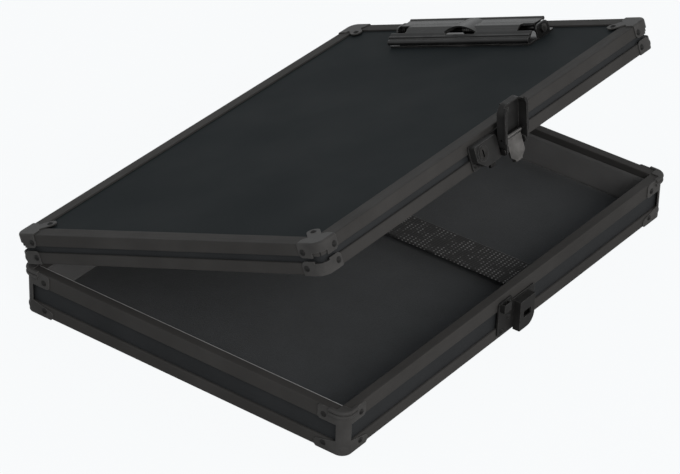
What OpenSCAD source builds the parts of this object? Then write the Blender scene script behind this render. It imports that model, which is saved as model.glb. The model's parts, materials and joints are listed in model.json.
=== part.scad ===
// Locking storage clipboard: a shallow tray with a hinged lid that carries a paper clip.
// Frame: X across the case (+X is the latch side), Y along it (+Y is the clip end), Z up.
// The origin is the centre of the underside. The lid is drawn at lid_angle above closed.

/* [Case] */
// Width of the case over its trims, along X
case_w = 254; // [230:1:290]
// Length of the case over its trims, along Y
case_l = 355; // [320:1:400]
// Height of the tray from the underside to the top of its rim
base_h = 32; // [29:0.5:45]
// Height of the lid from its lower edge to its top flange
lid_h = 20; // [19:0.5:30]
// Gap between the tray's rim and the lid's lower edge when shut
lid_gap = 1.2; // [1.1:0.1:2]
// Radius of the four upright corners
corner_r = 6; // [6:0.5:12]
// How far the lid stands open as drawn, in degrees
lid_angle = 20.7; // [0:0.1:60]

/* [Boards] */
// Thickness of the side boards
board_t = 4; // [3:0.1:5]
// Thickness of the tray's bottom panel
bottom_t = 3.2; // [2.6:0.1:5]
// Thickness of the lid's writing panel
top_t = 3; // [2:0.1:4]
// Thickness of the floor pad
floor_pad_t = 1.2; // [0.8:0.1:2]
// Thickness of the lid's ceiling pad
ceiling_pad_t = 1; // [0.6:0.1:2]
// Thickness of the lining strip round the lid's inside
lid_lining_t = 0.8; // [0.5:0.1:1.2]
// Inside corner radius of the linings
lining_r = 9; // [5:0.5:12]

/* [Trims] */
// Wall thickness of the trims, which is also how deep the boards sit behind them
trim_t = 1.6; // [1:0.1:2]
// Thickness of the trims' webs and flat flanges
web_t = 1.2; // [0.8:0.1:1.5]
// Thickness of the trims' inner lips
lip_t = 1.2; // [0.8:0.1:1.6]
// Depth of the trims' inner lips
lip_h = 5; // [3:0.5:7]
// Radius of the trims' long outer edges
edge_r = 0.8; // [0.3:0.1:1]
// Height of the tray's rim trim
rim_band = 10.6; // [9:0.1:12]
// Height of the tray's foot trim
foot_band = 8.5; // [7:0.1:9]
// Width of the foot trim's flange under the tray
foot_flange = 9; // [6:0.5:12]
// Height of the lid's top trim
top_band = 8; // [6.5:0.1:8.5]
// Width of the top trim's flange over the writing panel
top_flange = 10.5; // [8:0.5:13]
// Height of the lid's lower trim
edge_band = 7.7; // [6.5:0.1:8]

/* [Corner guards] */
// Sheet thickness of the corner guards
guard_t = 0.8; // [0.5:0.1:1.2]
// Reach of the tray guards' rim arms from the corner
rim_arm = 20; // [18:0.5:24]
// Reach of the tray guards' foot arms from the corner
foot_arm = 22.5; // [20:0.5:26]
// Height of the tray guards' foot arms
foot_arm_h = 9.5; // [8.5:0.5:11]
// Reach of the lid caps' and brackets' arms from the corner
lid_arm = 16; // [15.5:0.5:24]
// How far the ball at the foot of a tray guard stands proud of the trims
foot_ball = 1.3; // [1.2:0.1:2.6]
// How far the ball of a lid bracket stands proud of the trims
lid_ball = 1.3; // [1.2:0.1:2.8]
// How far the collar at the top of a tray guard stands proud of the trims
collar_out = 2.4; // [1.2:0.1:2.6]
// Height of that collar
collar_h = 4.6; // [3:0.1:6]
// Width of the tongue on top of a lid cap
tongue_w = 12; // [9:0.5:14]
// Distance of the tongue's rivet from both edges of the lid
tongue_rivet = 16; // [14:0.5:18]

/* [Rivets] */
// Diameter of a rivet's domed head
rivet_d = 4.2; // [3:0.1:5]
// Height of a rivet's domed head
rivet_h = 1.1; // [0.6:0.1:1.4]
// Diameter of a rivet's shank
shank_d = 2.4; // [2:0.1:3]
// Radial clearance of a shank in its hole
shank_fit = 0.05; // [0.02:0.01:0.1]

/* [Elastic strap] */
// Width of the strap
strap_w = 30; // [20:1:40]
// Thickness of the strap
strap_t = 1.2; // [0.8:0.1:2]
// Y of the strap's centre line
strap_y = 41; // [0:1:80]
// Clear height under the strap
strap_clear = 6; // [5:0.5:10]
// Clearance round the strap in its slots
strap_fit = 0.2; // [0.1:0.1:0.5]

/* [Rear hinge] */
// Gap along the case between the hinge and the corner pieces' arms
hinge_end = 7; // [2:0.5:30]
// Number of knuckles, an odd number
knuckles = 15; // [9:2:21]
// Outer diameter of a knuckle
knuckle_d = 4.6; // [4:0.1:5]
// Diameter of the hinge pin
pin_d = 2.4; // [2:0.1:3]
// Radial clearance of the lid's knuckles on the pin
pin_fit = 0.06; // [0.03:0.01:0.1]
// Gap between neighbouring knuckles
knuckle_gap = 0.4; // [0.3:0.1:0.8]
// Thickness of the hinge leaves
leaf_t = 1; // [0.8:0.1:1.2]
// Gap between the knuckles and the case
knuckle_off = 0.3; // [0.2:0.1:0.6]
// Height of the tray's leaf below the knuckles
base_leaf_h = 8; // [6:0.5:9]
// Height of the lid's leaf above the knuckles
lid_leaf_h = 5.6; // [5.5:0.1:6]

/* [Latch] */
// Y of the lever's centre line
lever_y = 8; // [5:0.5:12]
// Width of the lever
lever_w = 23; // [21:0.5:24]
// Reach of the lever from its pivot to its rounded end
lever_len = 30; // [28:0.5:33]
// Radius of the lever's rounded end
lever_r = 6.5; // [4:0.5:10]
// Depth of the lever behind its pivot, towards the case when shut
lever_back = 3; // [2.8:0.1:4]
// Distance from the lever's pivot to its outer skin
lever_front = 4.3; // [4.1:0.1:5]
// Sheet thickness of the lever
lever_t = 1; // [0.8:0.1:1.2]
// Angle of the lever from shut, as drawn, in degrees
lever_angle = 165; // [0:1:170]
// Distance of the lever's pivot in front of the case
pivot_out = 6.5; // [6:0.1:8]
// Height of the lever's pivot above the lid's lower edge
pivot_up = 3.5; // [3.2:0.1:5]
// Diameter of the lever's pivots
pivot_d = 3; // [2.5:0.1:3.2]
// Distance along the lever from its pivot to the hook's pin
hook_throw = 7; // [6.5:0.5:11]
// Distance of the hook's pin in front of the lever's pivot when shut
hook_out = 1; // [0.9:0.1:1.4]
// Diameter of the hook's pin
hook_pin_d = 2; // [1.6:0.1:2.2]
// Width of the hook
hook_w = 15; // [12:0.5:15.5]
// Length of the hook from its pin to the top of its claw
hook_len = 16.5; // [13:0.1:17]
// Thickness of the hook
hook_t = 1.2; // [1:0.1:1.4]
// Width of the hook's claw
claw_w = 7; // [6:0.5:11]
// Reach of the hook's claw
claw = 2; // [1.9:0.1:2.3]
// Radial clearance of the pins in the pieces that turn on them
latch_fit = 0.06; // [0.03:0.01:0.1]
// Side clearance between pieces of the latch
latch_side = 0.3; // [0.3:0.05:0.5]
// Thickness of the latch plate and of the keeper plate
plate_t = 1.2; // [1:0.1:1.5]
// Y of the left end of the latch plate
plate_y0 = -29; // [-32:0.5:-28]
// Height of the latch plate
plate_h = 16.4; // [15:0.1:17]

/* [Keeper] */
// Y of the left end of the keeper plate
keeper_y0 = -17.5; // [-19:0.5:-17]
// Height of the keeper plate's lower edge
keeper_z0 = 3; // [2:0.5:5]
// Width of the strike box that the hook catches
strike_w = 16.4; // [15:0.2:17]
// Depth of the strike box
strike_out = 6.4; // [5.5:0.1:6.5]
// Height of the strike box's lower edge
strike_z0 = 0.5; // [0.4:0.1:2]
// Height of the strike box's upper edge
strike_z1 = 22.4; // [20:0.1:23]
// Radius of the strike box's lower corner away from the lock
strike_r = 8; // [4:0.5:8]
// Sheet thickness of the strike box
strike_t = 1.2; // [1:0.1:1.4]
// Height of the window that the hook's claw enters
window_h = 5; // [4:0.5:8]
// Clearance of the claw in that window
claw_gap = 0.7; // [0.6:0.05:0.9]

/* [Key lock] */
// Y of the key cylinder's centre
cylinder_y = -22; // [-23:0.1:-21.5]
// Diameter of the key cylinder
cylinder_d = 8; // [6:0.1:8.5]
// How far the lock housing stands out from the latch plate
housing_t = 4.5; // [4.2:0.1:6]
// Radius of the lock housing's corners
housing_r = 2; // [1:0.1:3]
// Y of the bolt's centre line
bolt_y = -13; // [-13.5:0.1:-12]
// Width of the bolt
bolt_w = 5; // [4:0.1:6]
// Thickness of the bolt
bolt_t = 1.8; // [1.4:0.1:2]
// How far the drawn-back bolt shows below the lid
bolt_show = 2.6; // [1:0.1:2.8]
// Clearance of the bolt in its slots
bolt_fit = 0.15; // [0.1:0.05:0.3]
// Height of the bridge on the keeper plate that the bolt drops into
bridge_h = 6; // [4:0.5:7]
// Radial clearance of the key cylinder in its housing
cylinder_fit = 0.06; // [0.03:0.01:0.1]

/* [Paper clip] */
// Width of the clip's jaw
jaw_w = 121; // [100:1:150]
// Clearance between the clip's lever and its side ears
clip_side = 2.2; // [0.5:0.1:3]
// How much narrower the lever's front is at each end
clip_front_in = 9; // [4:0.5:14]
// Y of the jaw's lip, measured back from the far end of the case
jaw_back = 42.5; // [38:0.5:46]
// Distance from the jaw's lip to the clip's rod
jaw_reach = 17.5; // [16:0.5:19]
// Sheet thickness of the clip
clip_t = 1.2; // [1:0.1:1.5]
// Height of the rod above the writing panel
rod_up = 5.6; // [5.4:0.1:7]
// Diameter of the rod
rod_d = 4; // [3.5:0.1:4.2]
// Radial clearance of the clip's lever on its rod
rod_fit = 0.06; // [0.03:0.01:0.1]
// Height of the clip's side ears above the writing panel
ear_h = 9.8; // [9.4:0.1:12]
// Turns of the spring
spring_turns = 7; // [5:1:9]
// Wire diameter of the spring
wire_d = 1.4; // [1:0.1:1.5]

/* [Hidden] */
$fn = 48;
eps = 0.01;

// Sides and corners are counted anticlockwise from +X, seen from above
RIGHT = 0;
FAR = 1;
LEFT = 2;
NEAR = 3;
FAR_RIGHT = 0;
FAR_LEFT = 1;
NEAR_LEFT = 2;
NEAR_RIGHT = 3;
function side_half(side) = side % 2 == 0 ? case_w / 2 : case_l / 2;
function side_run(side) = side % 2 == 0 ? case_l : case_w;

// Levels, with the lid shut
lid_z0 = base_h + lid_gap;
lid_z1 = lid_z0 + lid_h;
panel_z1 = lid_z1 - web_t;
panel_z0 = panel_z1 - top_t;
floor_z = bottom_t + floor_pad_t;
ceiling_z = panel_z0 - ceiling_pad_t;
// Distances in from the faces of the trims
board_in = trim_t + board_t;
lip_in = board_in + lip_t;

// Colours
BLACK_SATIN = [0.15, 0.15, 0.15];
BLACK_BOARD = [0.09, 0.09, 0.095];
BLACK_PANEL = [0.10, 0.115, 0.12];
BLACK_CLOTH = [0.12, 0.12, 0.125];
BLACK_STEEL = [0.22, 0.21, 0.20];
BRIGHT_STEEL = [0.62, 0.60, 0.58];

// Hinge line
hinge_x = -(case_w / 2 + knuckle_off + knuckle_d / 2);
hinge_z = base_h + lid_gap / 2;

// Turns shut-lid pieces to the drawn lid angle
module lid_pose() {
    translate([hinge_x, 0, hinge_z])
        rotate([0, -lid_angle, 0])
            translate([-hinge_x, 0, -hinge_z])
                children();
}

// Places a piece drawn for a face at x = 0 (outward is +x, running along y) on a side
module on_side(side) {
    rotate([0, 0, 90 * side])
        translate([side_half(side), 0, 0])
            children();
}

// Places a piece drawn round an upright corner axis, with its faces at x = y = corner_r
module on_corner(corner) {
    rotate([0, 0, 90 * corner])
        translate([side_half(corner) - corner_r, side_half(corner + 1) - corner_r, 0])
            children();
}

// Plate of the given thickness on the face x = 0, from a 2-D outline in (y, z)
module face_plate(thickness) {
    rotate([90, 0, 90])
        linear_extrude(thickness)
            children();
}

// Square with all four corners rounded, from (0, 0) to (w, h)
module round_square(w, h, r) {
    translate([r, 0])
        square([w - 2 * r, h]);
    translate([0, r])
        square([w, h - 2 * r]);
    for (x = [r, w - r], y = [r, h - r])
        translate([x, y])
            circle(r);
}

// Bar between two points of a 2-D profile, with round ends
module stroke(p, q, t) {
    run = norm(q - p);
    translate(p)
        rotate(atan2(q[1] - p[1], q[0] - p[0]))
            translate([0, -t / 2])
                square([run, t]);
    for (e = [p, q])
        translate(e)
            circle(t / 2);
}

// ---------------------------------------------------------------- boards and trims

// Plan of a mitred side member, whose outer face lies "inset" behind the trims' face
module member_plan(run, inset) {
    deep = top_flange + 4;
    intersection() {
        polygon([
            [1, -run / 2 - 1], [1, run / 2 + 1],
            [-deep, run / 2 - deep], [-deep, -run / 2 + deep]
        ]);
        union() {
            translate([-deep, -run / 2 + corner_r])
                square([deep - inset, run - 2 * corner_r]);
            translate([-deep, -run / 2 + inset])
                square([deep - corner_r, run - 2 * inset]);
            for (s = [-1, 1])
                translate([-corner_r, s * (run / 2 - corner_r)])
                    circle(corner_r - inset);
        }
    }
}

module board(side, z0, z1) {
    run = side_run(side);
    on_side(side)
        translate([0, 0, z0])
            linear_extrude(z1 - z0)
                intersection() {
                    member_plan(run, trim_t);
                    translate([-board_in, -run / 2])
                        square([board_t, run]);
                }
}

// A trim: its 2-D section in (outward, z), run along the side and cut to the case's plan
module trim(side, z0, z1) {
    run = side_run(side);
    on_side(side)
        intersection() {
            rotate([90, 0, 0])
                linear_extrude(run, center = true)
                    children();
            translate([0, 0, z0])
                linear_extrude(z1 - z0)
                    member_plan(run, 0);
        }
}

// Upright wall of a trim, with its long outer edges rounded
module wall_section(h) {
    translate([-trim_t, 0])
        square([trim_t - edge_r, h]);
    translate([-trim_t, edge_r])
        square([trim_t, h - 2 * edge_r]);
    for (z = [edge_r, h - edge_r])
        translate([-edge_r, z])
            circle(edge_r);
}

// Section that caps the edge of a board: wall, web across the edge, and inner lip
module cap_section(band) {
    wall_section(band);
    lip_r = min(edge_r, lip_t / 2);
    translate([-lip_in + lip_r, band - web_t])
        square([lip_in - lip_r - edge_r, web_t]);
    translate([-lip_in, band - lip_h])
        square([lip_t, lip_h - lip_r]);
    translate([-lip_in + lip_r, band - lip_r])
        circle(lip_r);
}

// Section of an angle: wall and a flat flange at its top
module angle_section(band, flange) {
    wall_section(band);
    translate([-flange, band - web_t])
        square([flange - edge_r, web_t]);
}

module bottom_panel() {
    color(BLACK_BOARD)
        union() {
            translate([-case_w / 2 + trim_t, -case_l / 2 + corner_r, web_t])
                cube([case_w - 2 * trim_t, case_l - 2 * corner_r, bottom_t - web_t]);
            translate([-case_w / 2 + corner_r, -case_l / 2 + trim_t, web_t])
                cube([case_w - 2 * corner_r, case_l - 2 * trim_t, bottom_t - web_t]);
            for (corner = [0 : 3])
                on_corner(corner)
                    translate([0, 0, web_t])
                        cylinder(r = corner_r - trim_t, h = bottom_t - web_t);
            translate([-case_w / 2 + foot_flange, -case_l / 2 + foot_flange, 0])
                cube([case_w - 2 * foot_flange, case_l - 2 * foot_flange, bottom_t]);
        }
}

module base_side(side) {
    color(BLACK_BOARD)
        board(side, bottom_t, base_h - web_t);
}

module rim_trim(side) {
    color(BLACK_SATIN)
        difference() {
            trim(side, base_h - rim_band, base_h)
                translate([0, base_h - rim_band])
                    cap_section(rim_band);
            guard_rivet_holes();
            if (side == LEFT)
                hinge_base_rivets(true);
            if (side == RIGHT)
                keeper_rivets(true);
        }
}

module foot_trim(side) {
    color(BLACK_SATIN)
        difference() {
            trim(side, 0, foot_band)
                translate([0, foot_band])
                    mirror([0, 1])
                        angle_section(foot_band, foot_flange);
            guard_rivet_holes();
            if (side == RIGHT)
                keeper_rivets(true);
        }
}

// ---------------------------------------------------------------- rivets

// Rivet on the face x = 0: domed head outward, shank inward through "grip"
module rivet(grip, hole = false) {
    dome_r = (rivet_d * rivet_d / 4 + rivet_h * rivet_h) / (2 * rivet_h);
    rotate([0, 90, 0])
        if (hole)
            translate([0, 0, -grip - 1])
                cylinder(d = shank_d + 2 * shank_fit, h = grip + 2);
        else
            rotate_extrude() {
                translate([0, -grip])
                    square([shank_d / 2, grip + eps]);
                intersection() {
                    translate([0, rivet_h - dome_r])
                        circle(dome_r);
                    square([rivet_d / 2 + 1, rivet_h + 1]);
                }
            }
}

// The same rivet at (y, z) on the face x = reach, which lies in front of a trim
module face_rivet(reach, y, z, hole) {
    translate([reach, y, z])
        rivet(reach - corner_r + trim_t, hole);
}

// ---------------------------------------------------------------- tray corner guards

rim_rivet_z = base_h - rim_band / 2 - 0.9;
foot_rivet_z = foot_band / 2 + 0.5;
guard_rivet_in = 15.5;

// Pieces repeated on both faces of a corner
module both_faces() {
    children();
    mirror([1, -1, 0])
        children();
}

// The solid of the case round a corner, which the guards are pressed over
module corner_core(z0, z1) {
    deep = 40;
    translate([-deep, -deep, z0]) {
        cube([deep + corner_r, deep, z1 - z0]);
        cube([deep, deep + corner_r, z1 - z0]);
    }
    translate([0, 0, z0])
        cylinder(r = corner_r, h = z1 - z0, $fn = 96);
}

module guard_rivets_at(hole) {
    both_faces()
        for (z = [rim_rivet_z, foot_rivet_z])
            face_rivet(corner_r + guard_t, corner_r - guard_rivet_in, z, hole);
}

module guard_rivet_holes() {
    for (corner = [0 : 3])
        on_corner(corner)
            guard_rivets_at(true);
}

// Quarter ring round the corner axis, from a section in (radius, z)
module corner_ring() {
    rotate_extrude(angle = 90, $fn = 96)
        children();
}

// Outline of a rim arm in (y, z), with its outer end rounded
module rim_arm_outline() {
    reach = rim_arm - corner_r;
    end_r = 2.5;
    z0 = base_h - rim_band + 0.4;
    translate([-reach, z0])
        round_square(reach + end_r, base_h - z0, end_r);
}

// Outline of a foot arm in (y, z): full height at the corner, sloping to its end
module foot_arm_outline() {
    reach = foot_arm - corner_r;
    end_h = 6;
    end_r = 1.5;
    polygon([
        [0, 0], [-reach + end_r, 0], [-reach, end_r],
        [-reach, end_h - end_r], [-reach + end_r, end_h], [0, foot_arm_h]
    ]);
}

// Section of the collar in (outward, z): a strip with a bead along its top and its bottom
module collar_section() {
    bead = collar_out / 2;
    square([bead, collar_h + guard_t]);
    for (z = [bead, collar_h + guard_t - bead])
        translate([bead, z])
            circle(bead);
}

module base_guard(corner) {
    collar_z0 = base_h - collar_h;
    collar_run = 5;
    plate_r0 = max(0, corner_r - board_in);
    color(BLACK_STEEL)
        on_corner(corner)
            difference() {
                union() {
                    // upright strip
                    corner_ring()
                        translate([corner_r, 0])
                            square([guard_t, base_h]);
                    // collar and the plate over the rim
                    corner_ring() {
                        translate([corner_r, collar_z0])
                            collar_section();
                        translate([plate_r0, base_h])
                            square([corner_r + 0.6 - plate_r0, guard_t]);
                    }
                    both_faces()
                        translate([corner_r, 0, collar_z0])
                            rotate([90, 0, 0])
                                linear_extrude(collar_run)
                                    collar_section();
                    // arms
                    both_faces()
                        translate([corner_r, 0, 0])
                            face_plate(guard_t) {
                                intersection() {
                                    rim_arm_outline();
                                    translate([-rim_arm, 0])
                                        square([rim_arm, base_h + 1]);
                                }
                                foot_arm_outline();
                            }
                    // ball at the foot
                    ball(foot_ball, foot_band / 2, 0);
                }
                guard_rivets_at(true);
            }
}

// Ball pressed out of a guard at height z, cut off at a floor
module ball(proud, z, floor_level) {
    out = corner_r / 3;
    reach = 2 * corner_r;
    difference() {
        translate([out, out, z])
            sphere(corner_r + proud - out * sqrt(2), $fn = 96);
        corner_core(z - reach, z + reach);
        translate([-reach, -reach, floor_level - reach])
            cube([2 * reach, 2 * reach, reach]);
    }
}

// ---------------------------------------------------------------- lid corner pieces

cap_z0 = lid_z1 - top_band - 0.6;
bracket_z1 = lid_z0 + edge_band + 1.4;
cap_rivet_z = cap_z0 + 3.6;
bracket_rivet_z = lid_z0 + 4.6;
lid_rivet_in = 13;
cap_strip = 5.5;

module lid_corner_rivets(hole) {
    both_faces()
        for (z = [cap_rivet_z, bracket_rivet_z])
            face_rivet(corner_r + guard_t, corner_r - lid_rivet_in, z, hole);
    tongue_xy = corner_r - tongue_rivet;
    translate([tongue_xy, tongue_xy, lid_z1 + guard_t])
        rotate([0, -90, 0])
            rivet(guard_t + (tongue_rivet < top_flange ? web_t : 0) + top_t / 2, hole);
}

module lid_corner_rivet_holes() {
    for (corner = [0 : 3])
        on_corner(corner)
            lid_corner_rivets(true);
}

// Outline of a lid arm in (y, z): its free corner rounded, cut up towards the corner
module lid_arm_outline(z0, z1) {
    reach = lid_arm - corner_r;
    end_r = 3;
    intersection() {
        translate([-reach, z0])
            round_square(reach + end_r, z1 - z0 + end_r, end_r);
        translate([-reach, z0])
            square([reach, z1 - z0]);
    }
}

module lid_cap(corner) {
    bend_r = 1.6;
    notch = 3.2;
    color(BLACK_STEEL)
        on_corner(corner)
            difference() {
                union() {
                    // bent round the corner
                    corner_ring() {
                        translate([corner_r, cap_z0 + notch])
                            square([guard_t, lid_z1 - cap_z0 - notch - bend_r + guard_t]);
                        translate([0, lid_z1])
                            square([corner_r + guard_t - bend_r, guard_t]);
                        bend(corner_r + guard_t - bend_r, lid_z1 + guard_t - bend_r, bend_r);
                    }
                    // arms on the faces, and their strips on the top flange
                    both_faces() {
                        translate([corner_r, 0, 0])
                            face_plate(guard_t)
                                lid_arm_outline(cap_z0, lid_z1 + guard_t - bend_r);
                        translate([0, -(lid_arm - corner_r), 0])
                            rotate([-90, 0, 0])
                                mirror([0, 1])
                                    linear_extrude(lid_arm - corner_r) {
                                        bend(corner_r + guard_t - bend_r,
                                             lid_z1 + guard_t - bend_r, bend_r);
                                        translate([corner_r - cap_strip, lid_z1])
                                            square([cap_strip + guard_t - bend_r, guard_t]);
                                    }
                    }
                    // gusset over the panel's corner, and its tongue
                    translate([0, 0, lid_z1])
                        linear_extrude(guard_t)
                            tongue_outline();
                }
                lid_corner_rivets(true);
            }
}

// Quarter of a sheet bend, its centre at (x, z) of a section, sharp on the inside
module bend(x, z, r) {
    translate([x, z])
        intersection() {
            circle(r);
            difference() {
                square(r);
                translate([-eps, -eps])
                    square(r - guard_t + eps);
            }
        }
}

// Plan of a lid cap's gusset between its arms, and the riveted tongue that runs out from it
module tongue_outline() {
    tip = tongue_rivet - corner_r;
    from = corner_r - cap_strip;
    reach = lid_arm - corner_r;
    polygon([[from, -reach], [from, from], [-reach, from]]);
    rotate(45) {
        translate([-tip * sqrt(2), 0])
            circle(d = tongue_w * 0.7);
        translate([-tip * sqrt(2), -tongue_w * 0.35])
            square([tip * sqrt(2), tongue_w * 0.7]);
    }
}

module lid_bracket(corner) {
    color(BLACK_STEEL)
        on_corner(corner)
            difference() {
                union() {
                    corner_ring()
                        translate([corner_r, lid_z0])
                            square([guard_t, edge_band]);
                    both_faces()
                        translate([corner_r, 0, 0])
                            face_plate(guard_t)
                                translate([0, lid_z0 + bracket_z1])
                                    mirror([0, 1])
                                        lid_arm_outline(lid_z0, bracket_z1);
                    ball(lid_ball, lid_z0 + edge_band * 0.45, lid_z0);
                }
                lid_corner_rivets(true);
            }
}

// ---------------------------------------------------------------- linings and strap

strap_z = floor_z + strap_clear;

// Ring of lining against the boards, with round inside corners
module lining_ring(thickness, z0, z1) {
    w = case_w - 2 * board_in;
    l = case_l - 2 * board_in;
    difference() {
        translate([-w / 2, -l / 2, z0])
            cube([w, l, z1 - z0]);
        translate([-w / 2 + thickness, -l / 2 + thickness, z0 - 1])
            linear_extrude(z1 - z0 + 2)
                round_square(w - 2 * thickness, l - 2 * thickness, lining_r);
    }
}

module floor_pad() {
    w = case_w - 2 * lip_in;
    l = case_l - 2 * lip_in;
    color(BLACK_CLOTH)
        translate([-w / 2, -l / 2, bottom_t])
            linear_extrude(floor_pad_t)
                round_square(w, l, lining_r);
}

module wall_lining() {
    color(BLACK_CLOTH)
        difference() {
            lining_ring(lip_t, bottom_t, base_h - lip_h);
            translate([-case_w / 2, strap_y - strap_w / 2 - strap_fit, strap_z - strap_fit])
                cube([case_w, strap_w + 2 * strap_fit, strap_t + 2 * strap_fit]);
        }
}

module elastic_strap() {
    half = case_w / 2 - board_in;
    color(BLACK_CLOTH)
        translate([-half, strap_y - strap_w / 2, strap_z])
            cube([2 * half, strap_w, strap_t]);
}

module lid_lining() {
    color(BLACK_CLOTH)
        lid_pose()
            union() {
                lining_ring(lid_lining_t, lid_z0 + lip_h, panel_z0);
                translate([-case_w / 2 + board_in, -case_l / 2 + board_in, ceiling_z])
                    cube([case_w - 2 * board_in, case_l - 2 * board_in, ceiling_pad_t]);
            }
}

// ---------------------------------------------------------------- lid body

module writing_panel() {
    color(BLACK_PANEL)
        lid_pose()
            difference() {
                union() {
                    translate([-case_w / 2 + trim_t, -case_l / 2 + corner_r, panel_z0])
                        cube([case_w - 2 * trim_t, case_l - 2 * corner_r, top_t]);
                    translate([-case_w / 2 + corner_r, -case_l / 2 + trim_t, panel_z0])
                        cube([case_w - 2 * corner_r, case_l - 2 * trim_t, top_t]);
                    for (corner = [0 : 3])
                        on_corner(corner)
                            translate([0, 0, panel_z0])
                                cylinder(r = corner_r - trim_t, h = top_t);
                }
                lid_corner_rivet_holes();
                clip_rivets_at(true);
            }
}

module lid_frame() {
    color(BLACK_BOARD)
        lid_pose()
            translate([0, 0, lid_z0 + web_t])
                linear_extrude(panel_z0 - lid_z0 - web_t)
                    difference() {
                        translate([-case_w / 2 + trim_t, -case_l / 2 + trim_t])
                            round_square(case_w - 2 * trim_t, case_l - 2 * trim_t,
                                         corner_r - trim_t);
                        square([case_w - 2 * board_in, case_l - 2 * board_in], center = true);
                    }
}

module top_trim(side) {
    color(BLACK_SATIN)
        lid_pose()
            difference() {
                trim(side, lid_z1 - top_band, lid_z1)
                    translate([0, lid_z1 - top_band])
                        angle_section(top_band, top_flange);
                lid_corner_rivet_holes();
            }
}

module lid_edge_trim(side) {
    color(BLACK_SATIN)
        lid_pose()
            difference() {
                trim(side, lid_z0, lid_z0 + edge_band)
                    translate([0, lid_z0 + edge_band])
                        mirror([0, 1])
                            cap_section(edge_band);
                lid_corner_rivet_holes();
                if (side == LEFT)
                    hinge_lid_rivets(true);
                if (side == RIGHT)
                    latch_rivets(true);
            }
}

// ---------------------------------------------------------------- rear hinge

hinge_l = case_l - 2 * (max(rim_arm, lid_arm) + hinge_end);
knuckle_r = knuckle_d / 2;
pitch = hinge_l / knuckles;
leaf_clear = knuckle_r + 0.4;
hinge_rivet_count = 5;
hinge_rivet_pitch = hinge_l / hinge_rivet_count;

// Knuckles "first", first + 2, ... with their bridges to a leaf on the side "up" (+1 or -1)
module knuckle_row(first, up, bore) {
    for (i = [first : 2 : knuckles - 1])
        translate([0, -hinge_l / 2 + i * pitch + knuckle_gap / 2, 0])
            difference() {
                union() {
                    rotate([-90, 0, 0])
                        cylinder(r = knuckle_r, h = pitch - knuckle_gap);
                    // bridge, flush with the leaf's outer face
                    translate([knuckle_off + knuckle_r - leaf_t, 0, up > 0 ? 0 : -leaf_clear - eps])
                        cube([leaf_t, pitch - knuckle_gap, leaf_clear + eps]);
                }
                translate([0, -1, 0])
                    rotate([-90, 0, 0])
                        cylinder(d = bore, h = pitch + 2);
            }
}

// Leaf against the rear face, from its inner edge to its outer edge, both from the hinge line
module leaf(z0, z1) {
    translate([knuckle_off + knuckle_r - leaf_t, -hinge_l / 2, z0])
        cube([leaf_t, hinge_l, z1 - z0]);
}

module hinge_rivet_row(z, hole) {
    for (i = [0 : hinge_rivet_count - 1])
        translate([-case_w / 2 - leaf_t, -hinge_l / 2 + (i + 0.5) * hinge_rivet_pitch, z])
            mirror([1, 0, 0])
                rivet(leaf_t + trim_t, hole);
}

module hinge_base_rivets(hole) {
    hinge_rivet_row(hinge_z - leaf_clear - base_leaf_h / 2, hole);
}

module hinge_lid_rivets(hole) {
    hinge_rivet_row(hinge_z + leaf_clear + lid_leaf_h / 2, hole);
}

module hinge_base_leaf() {
    color(BLACK_STEEL)
        difference() {
            translate([hinge_x, 0, hinge_z]) {
                knuckle_row(0, -1, pin_d);
                leaf(-leaf_clear - base_leaf_h, -leaf_clear);
            }
            hinge_base_rivets(true);
        }
}

module hinge_lid_leaf() {
    color(BLACK_STEEL)
        lid_pose()
            difference() {
                translate([hinge_x, 0, hinge_z]) {
                    knuckle_row(1, 1, pin_d + 2 * pin_fit);
                    leaf(leaf_clear, leaf_clear + lid_leaf_h);
                }
                hinge_lid_rivets(true);
            }
}

module hinge_pin() {
    color(BRIGHT_STEEL)
        translate([hinge_x, -hinge_l / 2, hinge_z])
            rotate([-90, 0, 0])
                cylinder(d = pin_d, h = hinge_l);
}

// ---------------------------------------------------------------- latch on the lid

face_x = case_w / 2;
pivot_x = face_x + pivot_out;
pivot_z = lid_z0 + pivot_up;
plate_y1 = lever_y + lever_w / 2 + 1;
plate_z0 = lid_z0 + 0.4;
ear_t = 1.2;
ear_y = lever_w / 2 - lever_t - latch_side - ear_t / 2;
ear_r = pivot_d / 2 + 1.3;
hook_x = pivot_x + hook_out * cos(lever_angle) + hook_throw * sin(lever_angle);
hook_z = pivot_z + hook_out * sin(lever_angle) - hook_throw * cos(lever_angle);
barrel_r = hook_pin_d / 2 + 0.8;

// Turns shut-lever pieces to the drawn lever angle
module lever_pose() {
    translate([pivot_x, lever_y, pivot_z])
        rotate([0, -lever_angle, 0])
            children();
}

// Cylinder along Y, centred
module y_cylinder(d, h) {
    rotate([90, 0, 0])
        cylinder(d = d, h = h, center = true);
}

module latch_rivets(hole) {
    for (y = [plate_y0 + 3, lever_y - 4.6, lever_y + 4.6])
        translate([face_x + plate_t, y, lid_z0 + edge_band / 2])
            rivet(plate_t + trim_t, hole);
}

module latch_plate() {
    color(BLACK_STEEL)
        lid_pose()
            difference() {
                union() {
                    translate([face_x, plate_y0, plate_z0])
                        face_plate(plate_t)
                            round_square(plate_y1 - plate_y0, plate_h, 1.5);
                    for (s = [-1, 1])
                        translate([face_x, lever_y + s * ear_y, pivot_z])
                            latch_ear();
                }
                latch_rivets(true);
                translate([pivot_x, lever_y, pivot_z])
                    y_cylinder(pivot_d, lever_w);
            }
}

// Ear that stands out from the plate round the lever's pivot, centred on y = 0
module latch_ear() {
    root = 1.2;
    rotate([90, 0, 0])
        linear_extrude(ear_t, center = true) {
            polygon([
                [0, plate_z0 - pivot_z], [pivot_out, -ear_r], [pivot_out, ear_r], [0, ear_r + root]
            ]);
            translate([pivot_out, 0])
                circle(ear_r);
        }
}

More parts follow.
